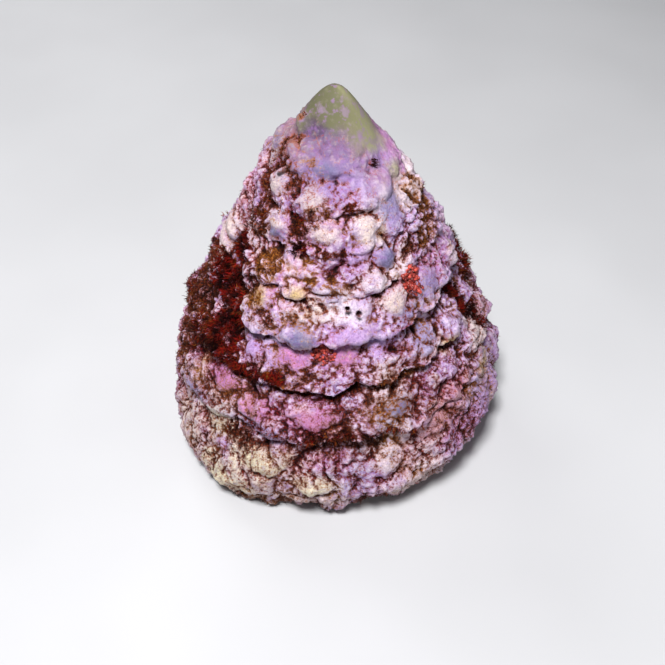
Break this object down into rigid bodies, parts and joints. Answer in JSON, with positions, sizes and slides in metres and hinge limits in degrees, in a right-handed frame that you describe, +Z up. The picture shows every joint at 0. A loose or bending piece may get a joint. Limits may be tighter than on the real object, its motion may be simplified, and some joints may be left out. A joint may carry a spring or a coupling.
{
  "type": "top shell",
  "caption": "Cone-shaped sea shell with knobbly spiral ledges, a lime crust of pink coralline algae, red-brown turf and a smooth worn tip, standing on its flat base.",
  "frame": {"origin": "middle of the shell's box, at the level of the flat base that it stands on", "axes": "+Z up along the coil's axis to the tip, -Y to the side that the picture shows, +X to that view's right"},
  "size_m": [0.051, 0.0492, 0.0594],
  "materials": {
    "crust": "matte",
    "turf": "matte",
    "colony": "satin"
  },
  "bodies": {
    "root": {"shell": "crust"}
  },
  "joints": []
}
